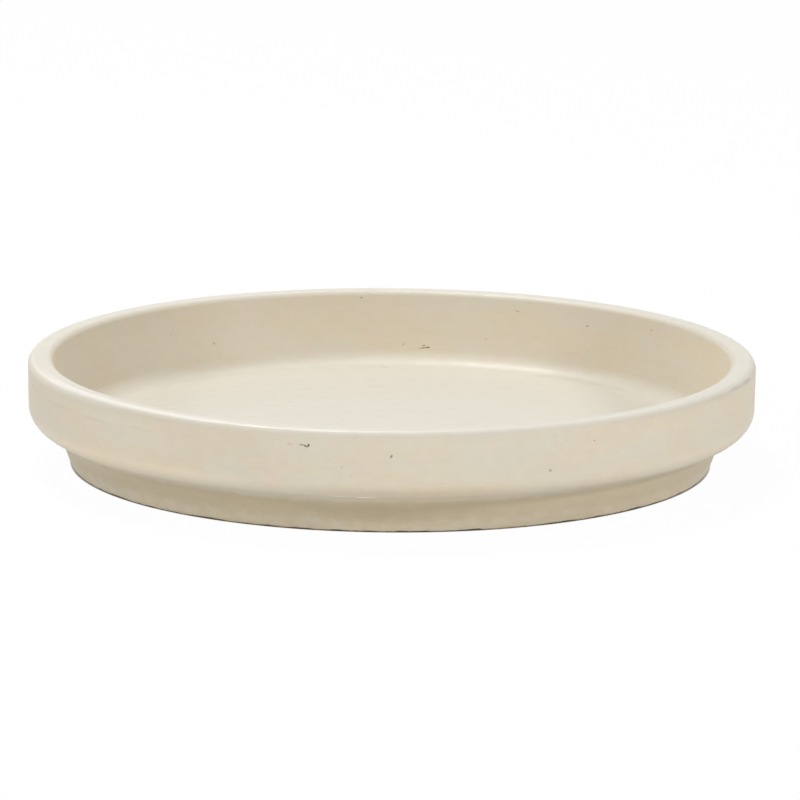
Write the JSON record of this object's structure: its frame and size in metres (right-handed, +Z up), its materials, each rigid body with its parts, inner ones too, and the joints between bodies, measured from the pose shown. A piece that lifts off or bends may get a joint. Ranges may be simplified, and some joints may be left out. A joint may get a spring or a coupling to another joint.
{
  "type": "plant saucer",
  "caption": "Round fired-clay saucer with a thick upright rim, a stepped-in foot and a flat floor, to stand under a plant pot and hold its drained water.",
  "frame": {"origin": "middle of the base, on the surface that the saucer stands on", "axes": "+Z up along the axis that the saucer was turned about; +X to the right in the picture; +Y away from its camera"},
  "size_m": [0.254, 0.254, 0.0375],
  "materials": {
    "clay": "satin, cream-coloured fired clay"
  },
  "bodies": {
    "root": {"saucer": "clay"}
  },
  "joints": []
}
